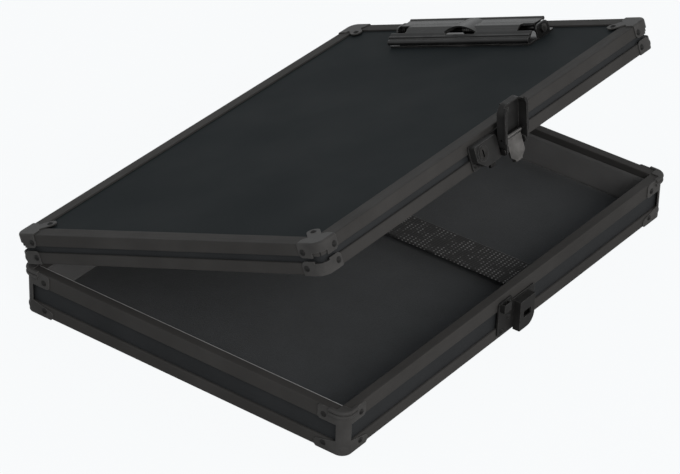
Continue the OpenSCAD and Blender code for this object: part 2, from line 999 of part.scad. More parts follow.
module lever_pivots() {
    head_t = 0.8;
    grip = ear_t + latch_side + lever_t + 0.3;
    color(BRIGHT_STEEL)
        lid_pose()
            for (s = [-1, 1])
                translate([pivot_x, lever_y + s * (lever_w / 2 + 0.3), pivot_z]) {
                    translate([0, -s * grip / 2, 0])
                        y_cylinder(pivot_d, grip);
                    translate([0, s * head_t / 2, 0])
                        y_cylinder(pivot_d + 1.6, head_t);
                }
}

// Outline of the lever in (y, z): square at the pivot, round at its free end
module lever_outline(inset) {
    half = lever_w / 2 - inset;
    end = lever_len - inset;
    r = lever_r - inset;
    translate([-half, -end + r])
        square([2 * half, end - r]);
    translate([-half + r, -end])
        square([2 * (half - r), r + eps]);
    for (s = [-1, 1])
        translate([s * (half - r), -end + r])
            circle(r);
}

// Where the lever's turned-out rim begins, below the pivot
rim_z = -6;
// Place for the strike box in the lever's closed end
strike_gap = 0.6;

module latch_lever() {
    skin_z = -4;
    rim_w = 1.1;
    rim_t = 1;
    depth = lever_back + lever_front;
    color(BLACK_STEEL)
        lid_pose()
            lever_pose()
                difference() {
                    union() {
                        // side walls and closed end
                        translate([-lever_back, 0, 0])
                            difference() {
                                face_plate(depth)
                                    lever_outline(0);
                                translate([-1, 0, 0])
                                    face_plate(depth + 2)
                                        translate([0, eps])
                                            lever_outline(lever_t);
                            }
                        // rim turned out along the open edge
                        translate([-lever_back, 0, 0])
                            difference() {
                                face_plate(rim_t)
                                    intersection() {
                                        lever_outline(-rim_w);
                                        translate([-lever_w, rim_z - 2 * lever_len])
                                            square([2 * lever_w, 2 * lever_len]);
                                    }
                                translate([-1, 0, 0])
                                    face_plate(rim_t + 2)
                                        lever_outline(lever_t);
                            }
                        // outer skin
                        translate([lever_front - lever_t, 0, 0])
                            face_plate(lever_t)
                                intersection() {
                                    lever_outline(0);
                                    translate([-lever_w, skin_z - 2 * lever_len])
                                        square([2 * lever_w, 2 * lever_len]);
                                }
                        // finger lip at the free end
                        translate([lever_front, 0, -lever_len + 1.1])
                            y_cylinder(2.2, lever_w - 2 * lever_r + 4);
                        // bosses round the pivots
                        for (s = [-1, 1])
                            translate([0, s * (lever_w / 2 - lever_t / 2), 0])
                                y_cylinder(2 * lever_back, lever_t);
                    }
                    y_cylinder(pivot_d + 2 * latch_fit, 2 * lever_w);
                    translate([hook_out, 0, -hook_throw])
                        y_cylinder(hook_pin_d, 2 * lever_w);
                    // notch in the closed end, which passes over the strike box
                    translate([-lever_back - 1, -strike_w / 2 - strike_gap, -lever_len - 2 * rim_w])
                        cube([lever_back + 1 + strike_out - pivot_out + strike_gap,
                              strike_w + 2 * strike_gap, lever_r + 2 * rim_w]);
                }
}

module hook_pin() {
    color(BRIGHT_STEEL)
        lid_pose()
            translate([hook_x, lever_y, hook_z])
                y_cylinder(hook_pin_d, lever_w);
}

module latch_hook() {
    claw_z1 = -hook_len;
    taper = 3;
    color(BRIGHT_STEEL)
        lid_pose()
            translate([hook_x, lever_y, hook_z])
                difference() {
                    union() {
                        y_cylinder(2 * barrel_r, hook_w);
                        // plate, narrowing to the claw
                        translate([-hook_t / 2, 0, 0])
                            face_plate(hook_t)
                                polygon([
                                    [-hook_w / 2, 0], [hook_w / 2, 0],
                                    [hook_w / 2, claw_z1 + taper], [claw_w / 2, claw_z1],
                                    [claw_w / 2, claw_z1 - hook_t],
                                    [-claw_w / 2, claw_z1 - hook_t],
                                    [-claw_w / 2, claw_z1], [-hook_w / 2, claw_z1 + taper]
                                ]);
                        // claw
                        translate([-hook_t / 2 - claw, -claw_w / 2, claw_z1 - hook_t])
                            cube([claw + eps, claw_w, hook_t]);
                    }
                    y_cylinder(hook_pin_d + 2 * latch_fit, 2 * hook_w);
                }
}

// ---------------------------------------------------------------- keeper on the tray

// The claw's top when the latch is shut
claw_z = pivot_z - hook_throw - hook_len;
window_z1 = claw_z + claw_gap;
bridge_z1 = lid_z0 - 5.2;
keeper_z1 = strike_z1 + 1.8;
keeper_raise = 15;
keeper_tab = 7;
keeper_tab_h = 6.5;
bridge_wall = 1.2;
bolt_x0 = face_x + plate_t + 1;
keeper_y1 = lever_y + strike_w / 2;
keeper_rivet_z = keeper_z0 + 2.6;

module keeper_rivets(hole) {
    bridge_rivet_z = base_h - rim_band + 2.4;
    for (p = [[bolt_y, keeper_rivet_z], [bolt_y + 7, base_h / 2 - 2.5], [bolt_y + 7, bridge_rivet_z]])
        translate([face_x + plate_t, p[0], p[1]])
            rivet(plate_t + trim_t, hole);
}

// Keeper plate's outline in (y, z): raised behind the bridge, with a tab past the strike box
module keeper_outline() {
    corner = 2;
    translate([keeper_y0, keeper_z0]) {
        round_square(keeper_y1 - keeper_y0, keeper_z1 - keeper_z0, corner);
        round_square(keeper_raise, bridge_z1 - keeper_z0, corner);
    }
    translate([keeper_y1 - 2 * corner, keeper_z1 - keeper_tab_h])
        round_square(2 * corner + keeper_tab, keeper_tab_h, corner);
}

module keeper_plate() {
    color(BLACK_STEEL)
        difference() {
            union() {
                translate([face_x, 0, 0])
                    face_plate(plate_t)
                        keeper_outline();
                // bridge that the lock's bolt drops into
                translate([face_x + plate_t - eps, bolt_y - bolt_w / 2 - bridge_wall,
                           bridge_z1 - bridge_h])
                    cube([bolt_x0 - face_x - plate_t + bolt_t + bridge_wall + eps,
                          bolt_w + 2 * bridge_wall, bridge_h]);
            }
            translate([bolt_x0 - bolt_fit - 0.3, bolt_y - bolt_w / 2 - bolt_fit - 0.3, 0])
                cube([bolt_t + 2 * bolt_fit + 0.6, bolt_w + 2 * bolt_fit + 0.6, lid_z0]);
            keeper_rivets(true);
        }
}

// Outline of the strike box in (y, z), its lower right corner well rounded
module strike_outline(inset) {
    half = strike_w / 2 - inset;
    z0 = strike_z0 + inset;
    z1 = strike_z1 - inset;
    corner = strike_r - inset;
    translate([-half, z0])
        square([2 * half - corner, z1 - z0]);
    translate([half - corner - eps, z0 + corner])
        square([corner + eps, z1 - z0 - corner]);
    translate([half - corner, z0 + corner])
        circle(corner);
}

// Pressed box with a window in its front, which the hook's claw catches
module hook_strike() {
    x0 = face_x + plate_t;
    out = strike_out - plate_t;
    window_w = claw_w + 2 * claw_gap;
    color(BLACK_STEEL)
        translate([x0, lever_y, 0])
            difference() {
                face_plate(out)
                    strike_outline(0);
                translate([-1, 0, 0])
                    face_plate(out + 1 - strike_t)
                        strike_outline(strike_t);
                translate([0, -window_w / 2, window_z1 - window_h])
                    cube([out + 1, window_w, window_h]);
            }
}

// ---------------------------------------------------------------- key lock

housing_y0 = plate_y0 + 0.5;
housing_y1 = lever_y - lever_w / 2 - 2.2;
housing_x0 = face_x + plate_t;
housing_z0 = plate_z0 + 0.3;
housing_h = plate_h - 0.6;
cylinder_z = housing_z0 + housing_h - cylinder_d / 2 - 2.2;
cylinder_x0 = housing_x0 + 0.6;

// Outline of the lock housing in (y, z), its lower left corner cut off
module housing_outline() {
    w = housing_y1 - housing_y0;
    cut = 6;
    intersection() {
        round_square(w, housing_h, housing_r);
        polygon([[0, cut], [1.3 * cut, 0], [w, 0], [w, housing_h], [0, housing_h]]);
    }
}

module lock_housing() {
    color(BLACK_STEEL)
        lid_pose()
            difference() {
                union() {
                    translate([housing_x0, housing_y0, housing_z0])
                        face_plate(housing_t)
                            housing_outline();
                    // raised ring round the key cylinder
                    translate([housing_x0 + housing_t - eps, cylinder_y, cylinder_z])
                        rotate([0, 90, 0])
                            cylinder(d = cylinder_d + 2.6, h = 0.6 + eps);
                }
                translate([cylinder_x0, cylinder_y, cylinder_z])
                    rotate([0, 90, 0])
                        cylinder(d = cylinder_d + 2 * cylinder_fit, h = housing_t + 2);
                translate([bolt_x0 - bolt_fit, bolt_y - bolt_w / 2 - bolt_fit, housing_z0 - 1])
                    cube([bolt_t + 2 * bolt_fit, bolt_w + 2 * bolt_fit, housing_h - 1.2]);
                // hollow over the rivet head behind it
                translate([housing_x0 - 1, plate_y0 + 3, lid_z0 + edge_band / 2])
                    rotate([0, 90, 0])
                        cylinder(d = rivet_d + 1.4, h = rivet_h + 1.3);
            }
}

module lock_cylinder() {
    face = housing_x0 + housing_t + 0.8;
    key_w = 1.1;
    key_h = 5;
    color(BRIGHT_STEEL)
        lid_pose()
            translate([0, cylinder_y, cylinder_z])
                difference() {
                    translate([cylinder_x0 + 0.1, 0, 0])
                        rotate([0, 90, 0])
                            cylinder(d = cylinder_d, h = face - cylinder_x0 - 0.1);
                    translate([face - 3, -key_w / 2, -key_h / 2])
                        cube([4, key_w, key_h]);
                }
}

module lock_bolt() {
    z0 = lid_z0 - bolt_show;
    z1 = housing_z0 + housing_h - 2.6;
    color(BRIGHT_STEEL)
        lid_pose()
            translate([bolt_x0, bolt_y - bolt_w / 2, z0])
                cube([bolt_t, bolt_w, z1 - z0]);
}

// ---------------------------------------------------------------- paper clip

clip_y0 = case_l / 2 - jaw_back;
rod_y = clip_y0 + jaw_reach;
rod_z = panel_z1 + rod_up;
clip_base_l = 29;
clip_w = jaw_w - 2 * (clip_t + clip_side);
jaw_z = panel_z1 + clip_t + 0.3;
coil_pitch = wire_d * 1.12;

module clip_rivets_at(hole) {
    for (x = [-jaw_w / 3, 0, jaw_w / 3])
        translate([x, clip_y0 + clip_base_l - 3.6, panel_z1 + clip_t])
            rotate([0, -90, 0])
                rivet(clip_t + top_t * 0.8, hole);
}

module clip_base() {
    color(BLACK_STEEL)
        lid_pose()
            difference() {
                union() {
                    translate([-jaw_w / 2, clip_y0, panel_z1])
                        linear_extrude(clip_t)
                            round_square(jaw_w, clip_base_l, 2);
                    for (s = [-1, 1])
                        translate([s * (jaw_w / 2 - clip_t / 2), 0, 0])
                            clip_ear();
                }
                translate([-jaw_w, rod_y, rod_z])
                    rotate([0, 90, 0])
                        cylinder(d = rod_d, h = 2 * jaw_w);
                clip_rivets_at(true);
            }
}

// Upturned ear at one end of the clip's base, centred on x = 0
module clip_ear() {
    half = 7;
    top_r = 4;
    translate([-clip_t / 2, rod_y - half, panel_z1])
        cube([clip_t, 2 * half, ear_h - top_r]);
    translate([-clip_t / 2, rod_y - half + top_r, panel_z1])
        cube([clip_t, 2 * (half - top_r), ear_h]);
    for (s = [-1, 1])
        translate([-clip_t / 2, rod_y + s * (half - top_r), panel_z1 + ear_h - top_r])
            rotate([0, 90, 0])
                cylinder(r = top_r, h = clip_t);
}

module clip_rod() {
    color(BRIGHT_STEEL)
        lid_pose()
            translate([0, rod_y, rod_z])
                rotate([0, 90, 0]) {
                    cylinder(d = rod_d, h = jaw_w + 1, center = true);
                    for (s = [-1, 1])
                        translate([0, 0, s * (jaw_w / 2 + 0.8)])
                            cylinder(d = rod_d + 1.8, h = 1.4, center = true);
                }
}

module clip_rivets() {
    color(BLACK_STEEL)
        lid_pose()
            clip_rivets_at(false);
}

// Section of the jaw and lever in (y, z), measured from the rod
jaw_lip_r = 1.9;
jaw_tip = [-jaw_reach + 1, jaw_z - rod_z + jaw_lip_r];
neck = [-12, 2.2];
knee = [-7, 4.7];
crest = [0.5, 3.9];
tail = [7.4, 4.2];
tail_r = 1.3;
lever_from = 0.5 * (knee + crest);

module clip_lever() {
    lug_t = 1.5;
    color(BLACK_STEEL)
        lid_pose()
            translate([0, rod_y, rod_z])
                difference() {
                    union() {
                        difference() {
                            clip_sheet();
                            hump_opening();
                        }
                        hump();
                        // lugs down to the rod
                        for (s = [-1, 1])
                            translate([s * (clip_w / 2 - lug_t / 2), 0, 0])
                                rotate([90, 0, 90])
                                    linear_extrude(lug_t, center = true) {
                                        circle(rod_d / 2 + 1.4);
                                        translate([-rod_d / 2 - 1.4, 0])
                                            square([rod_d + 2.8, 4]);
                                    }
                    }
                    translate([-jaw_w, 0, 0])
                        rotate([0, 90, 0])
                            cylinder(d = rod_d + 2 * rod_fit, h = 2 * jaw_w);
                }
}

// Bar from p to r with a sharp fold at q
module folded_bar(p, q, r, t) {
    up_in = across(p, q) * t / 2;
    up_out = across(q, r) * t / 2;
    up_fold = (up_in + up_out) / (1 + across(p, q) * across(q, r));
    polygon([p - up_in, q - up_fold, r - up_out, r + up_out, q + up_fold, p + up_in]);
}

// Unit vector square to the line from p to q
function across(p, q) = [p[1] - q[1], q[0] - p[0]] / norm(q - p);

// The bent sheet: a jaw as wide as the base, and a narrower lever with a rolled rear edge
module clip_sheet() {
    bead_r = 0.9;
    rotate([90, 0, 90]) {
        linear_extrude(jaw_w, center = true) {
            translate(jaw_tip)
                circle(jaw_lip_r);
            stroke(jaw_tip + [0.4, jaw_lip_r - clip_t / 2], neck, clip_t);
            translate(jaw_tip + 0.45 * (neck - jaw_tip) + [-0.3, 0.9])
                circle(bead_r);
        }
        linear_extrude(clip_w - 2 * clip_front_in, center = true)
            folded_bar(neck, knee, lever_from, clip_t);
        linear_extrude(clip_w, center = true) {
            stroke(lever_from, crest, clip_t);
            stroke(crest, tail, clip_t);
            translate(tail)
                circle(tail_r);
        }
    }
}

// Arch pressed up from the middle of the lever over the spring, open at its front
hump_r = 24;
hump_top = 7.4;
hump_tilt = 4.6;
hump_y0 = neck[0] - 0.4;
hump_y1 = crest[0] + 5;

// Cylinder that the arch is a strip of, sinking towards the rear
module hump_core(r) {
    translate([0, hump_y0, hump_top - hump_r])
        rotate([-hump_tilt, 0, 0])
            y_cylinder(2 * r, 4 * jaw_reach, $fn = 96);
}

module hump() {
    intersection() {
        difference() {
            hump_core(hump_r);
            hump_core(hump_r - clip_t);
        }
        translate([-hump_r, hump_y0, neck[1] - clip_t / 2])
            cube([2 * hump_r, hump_y1 - hump_y0, hump_r]);
        // above the sheet, so that no edge of the arch hangs below it
        rotate([90, 0, 90])
            linear_extrude(2 * hump_r, center = true)
                polygon([
                    [hump_y0, neck[1] - clip_t / 2], neck, knee, crest, [hump_y1, crest[1]],
                    [hump_y1, hump_top + 1], [hump_y0, hump_top + 1]
                ]);
    }
}

// Half width inside the arch at a point of the sheet's section
function arch_inside(p) =
    sqrt((hump_r - clip_t) ^ 2 - (p[1] - hump_top + hump_r + (p[0] - hump_y0) * tan(hump_tilt)) ^ 2);

// Opening in the sheet under the arch, just inside the arch's feet
module hump_opening() {
    rear = [hump_y1 - clip_t, crest[1]];
    feet = [for (p = [neck, knee, crest, rear]) [arch_inside(p) - 0.2, p[0]]];
    front = [[feet[0][0], hump_y0 - 1]];
    right = concat(front, feet);
    left = [for (i = [len(right) - 1 : -1 : 0]) [-right[i][0], right[i][1]]];
    translate([0, 0, -clip_t])
        linear_extrude(hump_top + clip_t)
            polygon(concat(right, left));
}

// Coil spring on the rod: one swept wire that starts as a leg under the lever's hump,
// winds round the rod and ends as a leg on the base plate
coil_r = rod_d / 2 + wire_d / 2 + 0.25;
coil_sides = 8;
coil_steps = 16;
coil_from = 0.25;
coil_to = spring_turns - 1 / 3;
spring_leg = 2.2;

// Point on the wire's skin: "t" turns round the rod, then "ahead" along the tangent
function wire_point(t, ahead, side) = let(
        a = 360 * t,
        b = 360 * side / coil_sides,
        r = coil_r + wire_d / 2 * cos(b),
        x = (t - (coil_from + coil_to) / 2) * coil_pitch + wire_d / 2 * sin(b)
    ) [x, r * cos(a) - ahead * sin(a), r * sin(a) + ahead * cos(a)];

module clip_spring() {
    steps = round((coil_to - coil_from) * coil_steps);
    turns = [for (i = [0 : steps]) coil_from + (coil_to - coil_from) * i / steps];
    stations = concat(
        [[coil_from, -spring_leg]], [for (t = turns) [t, 0]], [[coil_to, spring_leg]]
    );
    points = [
        for (p = stations, s = [0 : coil_sides - 1])
            wire_point(p[0], p[1], s)
    ];
    last = len(stations) - 1;
    skin = [
        for (i = [0 : last - 1], s = [0 : coil_sides - 1])
            let(a = i * coil_sides + s, b = i * coil_sides + (s + 1) % coil_sides)
                [a, b, b + coil_sides, a + coil_sides]
    ];
    ends = [
        [for (s = [coil_sides - 1 : -1 : 0]) s],
        [for (s = [0 : coil_sides - 1]) last * coil_sides + s]
    ];
    color(BRIGHT_STEEL)
        lid_pose()
            translate([0, rod_y, rod_z])
                polyhedron(points, concat(skin, ends));
}

// ---------------------------------------------------------------- rivet groups

module base_rivets() {
    color(BLACK_STEEL) {
        for (corner = [0 : 3])
            on_corner(corner)
                guard_rivets_at(false);
        hinge_base_rivets(false);
        keeper_rivets(false);
    }
}

module lid_rivets() {
    color(BLACK_STEEL)
        lid_pose() {
            for (corner = [0 : 3])
                on_corner(corner)
                    lid_corner_rivets(false);
            hinge_lid_rivets(false);
            latch_rivets(false);
        }
}

// ---------------------------------------------------------------- nodes

bottom_panel();
base_side(RIGHT);  // base_side_right
base_side(FAR);  // base_side_far
base_side(LEFT);  // base_side_left
base_side(NEAR);  // base_side_near
rim_trim(RIGHT);  // rim_trim_right
rim_trim(FAR);  // rim_trim_far
rim_trim(LEFT);  // rim_trim_left
rim_trim(NEAR);  // rim_trim_near
foot_trim(RIGHT);  // foot_trim_right
foot_trim(FAR);  // foot_trim_far
foot_trim(LEFT);  // foot_trim_left
foot_trim(NEAR);  // foot_trim_near
base_guard(FAR_RIGHT);  // base_guard_far_right
base_guard(FAR_LEFT);  // base_guard_far_left
base_guard(NEAR_LEFT);  // base_guard_near_left
base_guard(NEAR_RIGHT);  // base_guard_near_right
base_rivets();
floor_pad();
wall_lining();
elastic_strap();
hinge_base_leaf();
hinge_pin();
keeper_plate();
hook_strike();
writing_panel();
lid_frame();
top_trim(RIGHT);  // top_trim_right
top_trim(FAR);  // top_trim_far
top_trim(LEFT);  // top_trim_left
top_trim(NEAR);  // top_trim_near
lid_edge_trim(RIGHT);  // lid_edge_trim_right
lid_edge_trim(FAR);  // lid_edge_trim_far
lid_edge_trim(LEFT);  // lid_edge_trim_left
lid_edge_trim(NEAR);  // lid_edge_trim_near
lid_pose() lid_cap(FAR_RIGHT);  // lid_cap_far_right
lid_pose() lid_cap(FAR_LEFT);  // lid_cap_far_left
lid_pose() lid_cap(NEAR_LEFT);  // lid_cap_near_left
lid_pose() lid_cap(NEAR_RIGHT);  // lid_cap_near_right
lid_pose() lid_bracket(FAR_RIGHT);  // lid_bracket_far_right
lid_pose() lid_bracket(FAR_LEFT);  // lid_bracket_far_left
lid_pose() lid_bracket(NEAR_LEFT);  // lid_bracket_near_left
lid_pose() lid_bracket(NEAR_RIGHT);  // lid_bracket_near_right
lid_rivets();
lid_lining();
hinge_lid_leaf();
latch_plate();
lever_pivots();
latch_lever();
hook_pin();
latch_hook();
lock_housing();
lock_cylinder();
lock_bolt();
clip_base();
clip_rod();
clip_rivets();
clip_lever();
clip_spring();
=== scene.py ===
import json
import math

import bmesh
import bpy
from mathutils import Matrix, Vector, noise


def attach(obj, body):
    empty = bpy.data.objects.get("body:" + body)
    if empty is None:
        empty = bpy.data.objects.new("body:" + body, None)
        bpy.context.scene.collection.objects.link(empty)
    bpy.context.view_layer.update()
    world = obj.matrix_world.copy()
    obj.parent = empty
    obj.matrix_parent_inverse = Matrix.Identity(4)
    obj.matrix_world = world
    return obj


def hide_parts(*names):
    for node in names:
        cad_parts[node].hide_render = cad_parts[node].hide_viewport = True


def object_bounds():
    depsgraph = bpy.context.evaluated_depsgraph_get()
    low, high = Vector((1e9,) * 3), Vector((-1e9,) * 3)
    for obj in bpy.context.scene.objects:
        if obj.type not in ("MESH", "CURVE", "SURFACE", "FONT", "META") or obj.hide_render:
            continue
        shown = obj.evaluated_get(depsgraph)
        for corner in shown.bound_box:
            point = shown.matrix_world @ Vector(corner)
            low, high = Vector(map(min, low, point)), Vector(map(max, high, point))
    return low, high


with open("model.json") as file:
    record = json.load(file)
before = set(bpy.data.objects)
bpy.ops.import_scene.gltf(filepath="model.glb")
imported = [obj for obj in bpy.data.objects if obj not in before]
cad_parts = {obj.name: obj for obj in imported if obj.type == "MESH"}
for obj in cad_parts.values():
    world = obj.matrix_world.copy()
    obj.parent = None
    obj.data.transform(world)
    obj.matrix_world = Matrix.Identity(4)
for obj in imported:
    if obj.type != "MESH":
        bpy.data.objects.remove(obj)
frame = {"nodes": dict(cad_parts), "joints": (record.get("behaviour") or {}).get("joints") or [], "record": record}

CAD_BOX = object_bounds()

# ---------------------------------------------------------------- the frame

MM = 0.001
BODIES = frame["record"]["behaviour"]["bodies"]
LID_HINGE = next(j for j in frame["joints"] if j["name"] == "lid_hinge")
HINGE = Vector(LID_HINGE["pos_m"])
LID_TILT = math.radians(-LID_HINGE["range_deg"][0])
# Takes a point of the shut lid to its place at rest
LID_POSE = (
    Matrix.Translation(HINGE)
    @ Matrix.Rotation(-LID_TILT, 4, "Y")
    @ Matrix.Translation(-HINGE)
)
# Turns that lay coordinates along the tray, or along the tilted lid
NO_TURN = (0, 0, 0)
LID_TURN = (0, LID_TILT, 0)

# ---------------------------------------------------------------- camera

# A pinhole camera that was fitted to the case's corners in the photo: degrees, metres and pixels
CAMERA_AZIMUTH = 36.102
CAMERA_ELEVATION = 32.718
CAMERA_ROLL = 1.798
CAMERA_DISTANCE = 2.109056
CAMERA_TARGET = (0.000432, -0.014807, 0.025262)
FOCAL_PIXELS = 3241.342
FRAME_WIDTH = 680
SENSOR = 36.0
CLIP_START = 0.1
CLIP_END = 50


def make_camera():
    """The photo's camera, looking at its target from a distance and turned by its roll."""
    azimuth, elevation = math.radians(CAMERA_AZIMUTH), math.radians(CAMERA_ELEVATION)
    back = Vector((
        math.sin(azimuth) * math.cos(elevation),
        -math.cos(azimuth) * math.cos(elevation),
        math.sin(elevation),
    ))
    camera = bpy.data.objects.new("camera", bpy.data.cameras.new("camera"))
    camera.data.sensor_width = SENSOR
    camera.data.lens = FOCAL_PIXELS * SENSOR / FRAME_WIDTH
    camera.data.clip_start = CLIP_START
    camera.data.clip_end = CLIP_END
    camera.location = Vector(CAMERA_TARGET) + back * CAMERA_DISTANCE
    camera.rotation_mode = "QUATERNION"
    level = (-back).to_track_quat("-Z", "Y")
    roll = Matrix.Rotation(math.radians(CAMERA_ROLL), 3, back).to_quaternion()
    camera.rotation_quaternion = roll @ level
    bpy.context.scene.collection.objects.link(camera)
    bpy.context.scene.camera = camera


# ---------------------------------------------------------------- nodes


def add_node(tree, kind, inputs=None, **settings):
    """New shader node: inputs fill its sockets with values or links, by name or by number, and
    settings are the node's own properties."""
    made = tree.nodes.new("ShaderNode" + kind)
    for key, value in settings.items():
        setattr(made, key, value)
    for key, value in (inputs or {}).items():
        if isinstance(value, bpy.types.NodeSocket):
            tree.links.new(value, made.inputs[key])
        else:
            made.inputs[key].default_value = value
    return made


def empty_tree(owner):
    """Node tree of a world or a material, without its default nodes."""
    owner.use_nodes = True
    owner.node_tree.nodes.clear()
    return owner.node_tree


# ---------------------------------------------------------------- light and stage

# Soft boxes: place in metres, diameter in metres and power in watts
SOFT_BOXES = {
    "key": ((1.95, -1.15, 1.5), 1.3, 19),
    "side": ((2.2, 1.4, 0.6), 1.0, 9),
}
LIGHT_COLOUR = (1.0, 0.97, 0.945)
AIM = (0, 0, 0.05)
# Strength of the room's light on the object, where the room that is seen has 1
AMBIENT = 0.4
BACKDROP = (0.975, 0.99, 1.0, 1)
FLOOR_COLOUR = (0.86, 0.86, 0.86, 1)
# Share of the floor that the camera sees as plain backdrop, the rest being shaded
FLOOR_GLOW = 0.94
FLOOR_R = 6
FLOOR_SIDES = 96
FLOOR_DROP = 0.2 * MM


def area_light(name, place, size, power):
    """Round soft box that is turned to the object."""
    light = bpy.data.objects.new(name, bpy.data.lights.new(name, "AREA"))
    light.data.shape = "DISK"
    light.data.size = size
    light.data.energy = power
    light.data.color = LIGHT_COLOUR
    light.location = place
    toward = Vector(AIM) - Vector(place)
    light.rotation_mode = "QUATERNION"
    light.rotation_quaternion = toward.to_track_quat("-Z", "Y")
    bpy.context.scene.collection.objects.link(light)


def make_lights():
    for name, (place, size, power) in SOFT_BOXES.items():
        area_light(name, place, size, power)


def make_world():
    """Even light on the object; camera, glossy and transmission rays see a white room."""
    world = bpy.data.worlds.new("room")
    bpy.context.scene.world = world
    tree = empty_tree(world)
    rays = add_node(tree, "LightPath").outputs
    seen = rays["Is Camera Ray"]
    for kind in ("Is Glossy Ray", "Is Transmission Ray"):
        seen = add_node(tree, "Math", {0: seen, 1: rays[kind]}, operation="MAXIMUM").outputs[0]
    level = add_node(tree, "MapRange", {"Value": seen, "To Min": AMBIENT, "To Max": 1.0})
    strength = level.outputs["Result"]
    room = add_node(tree, "Background", {"Color": BACKDROP, "Strength": strength})
    add_node(tree, "OutputWorld", {"Surface": room.outputs[0]})


def make_stage():
    """Pale floor that shows the object's shadow faintly."""
    mesh = bpy.data.meshes.new("floor")
    floor = bpy.data.objects.new("floor", mesh)
    bpy.context.scene.collection.objects.link(floor)
    bm = bmesh.new()
    bmesh.ops.create_circle(bm, cap_ends=True, segments=FLOOR_SIDES, radius=FLOOR_R)
    bm.to_mesh(mesh)
    bm.free()
    floor.location.z = CAD_BOX[0].z - FLOOR_DROP
    material = bpy.data.materials.new("pale_floor")
    tree = empty_tree(material)
    diffuse = add_node(tree, "BsdfDiffuse", {"Color": FLOOR_COLOUR})
    glow = add_node(tree, "Emission", {"Color": BACKDROP})
    to_camera = add_node(tree, "LightPath").outputs["Is Camera Ray"]
    share = add_node(tree, "Math", {0: to_camera, 1: FLOOR_GLOW}, operation="MULTIPLY")
    shaders = {"Fac": share.outputs[0], 1: diffuse.outputs[0], 2: glow.outputs[0]}
    mix = add_node(tree, "MixShader", shaders)
    add_node(tree, "OutputMaterial", {"Surface": mix.outputs[0]})
    mesh.materials.append(material)


# ---------------------------------------------------------------- materials

SHADER_INPUTS = {
    "specular": "Specular IOR Level",
    "metallic": "Metallic",
    "sheen": "Sheen Weight",
    "sheen_roughness": "Sheen Roughness",
}
# The span in which a noise texture mostly stays
NOISE_LOW, NOISE_HIGH = 0.3, 0.7
BEVEL_SAMPLES = 6
# Agreement of the rounded normal with the flat one, on a sharp edge and on a flat face
EDGE_DOT, FLAT_DOT = 0.9, 0.995
# Sockets of a colour Mix node
MIX_SHARE, MIX_A, MIX_B, MIX_RESULT = 0, 6, 7, 2


def grey(level, warmth=0.0):
    """Linear colour of an sRGB level from 0 to 255, a little redder with warmth."""
    linear = ((level / 255 + 0.055) / 1.055) ** 2.4
    return (linear * (1 + warmth), linear, linear * (1 - warmth), 1)


class Paint:
    """A Principled material that is built from nodes. Its noise scales are per metre."""

    def __init__(self, name, **settings):
        self.material = bpy.data.materials.new(name)
        self.material.use_nodes = True
        self.tree = self.material.node_tree
        self.shader = self.tree.nodes["Principled BSDF"]
        for key, value in settings.items():
            self.shader.inputs[SHADER_INPUTS[key]].default_value = value
        self.place = self.node("TexCoord").outputs["Object"]

    def node(self, kind, inputs=None, **settings):
        return add_node(self.tree, kind, inputs, **settings)

    def coordinates(self):
        """x, y and z in metres."""
        return self.node("SeparateXYZ", {"Vector": self.place}).outputs

    def mapped(self, stretch, turn=NO_TURN):
        """Object coordinates in metres, turned and then stretched."""
        turned = self.node("Mapping", {"Vector": self.place, "Rotation": turn})
        return self.node("Mapping", {"Vector": turned.outputs[0], "Scale": stretch}).outputs[0]

    def noise(self, scale, detail, roughness=0.55, vector=None):
        made = self.node("TexNoise", {
            "Vector": vector or self.place,
            "Scale": scale,
            "Detail": detail,
            "Roughness": roughness,
        })
        return made.outputs["Fac"]

    def ramp(self, value, low, high):
        """Colours from low to high over the span of a noise."""
        made = self.node("ValToRGB", {"Fac": value})
        stops = made.color_ramp.elements
        stops[0].position, stops[0].color = NOISE_LOW, low
        stops[1].position, stops[1].color = NOISE_HIGH, high
        return made.outputs["Color"]

    def range(self, value, low, high, start=NOISE_LOW, end=NOISE_HIGH):
        """Numbers from low to high as value goes from start to end."""
        made = self.node("MapRange", {
            "Value": value,
            "From Min": start,
            "From Max": end,
            "To Min": low,
            "To Max": high,
        })
        return made.outputs["Result"]

    def math(self, operation, a, b=0.0):
        return self.node("Math", {0: a, 1: b}, operation=operation).outputs[0]

    def repeat(self, value, pitch):
        """Signed distance to the nearest multiple of pitch."""
        limits = {0: value, 1: pitch / 2, 2: -pitch / 2}
        return self.node("Math", limits, operation="WRAP").outputs[0]

    def mix(self, share, a, b):
        sockets = {MIX_SHARE: share, MIX_A: a, MIX_B: b}
        return self.node("Mix", sockets, data_type="RGBA").outputs[MIX_RESULT]

    def rounded(self, radius):
        """Normal as if the edges were rounded by radius."""
        return self.node("Bevel", {"Radius": radius}, samples=BEVEL_SAMPLES).outputs[0]

    def edge_wear_and_highlight(self, radius):
        """1 on sharp edges, 0 on flat faces."""
        flat = self.node("NewGeometry").outputs["Normal"]
        normals = {0: self.rounded(radius), 1: flat}
        dot = self.node("VectorMath", normals, operation="DOT_PRODUCT")
        return self.range(dot.outputs["Value"], 1.0, 0.0, EDGE_DOT, FLAT_DOT)

    def rubbed_and_highlit(self, base, bare_and_highlight, radius, share):
        """Colour base, taken towards the edge colour along the edges where share is high: worn edges, and a
        painted highlight on them.
        """
        return self.mix(self.math("MULTIPLY", self.edge_wear_and_highlight(radius), share), base, bare_and_highlight)

    def bump(self, height, depth, strength, edge=0.0):
        """Relief from height, over edges that are rounded by a radius of edge."""
        relief = {"Height": height, "Strength": strength, "Distance": depth}
        if edge:
            relief["Normal"] = self.rounded(edge)
        self.link(self.node("Bump", relief).outputs[0], "Normal")

    def colour(self, socket):
        self.link(socket, "Base Color")

    def rough(self, socket):
        self.link(socket, "Roughness")

    def link(self, socket, shader_input):
        self.tree.links.new(socket, self.shader.inputs[shader_input])


DRAWN_ALONG = {"x": (2, 60, 60), "y": (60, 2, 60)}
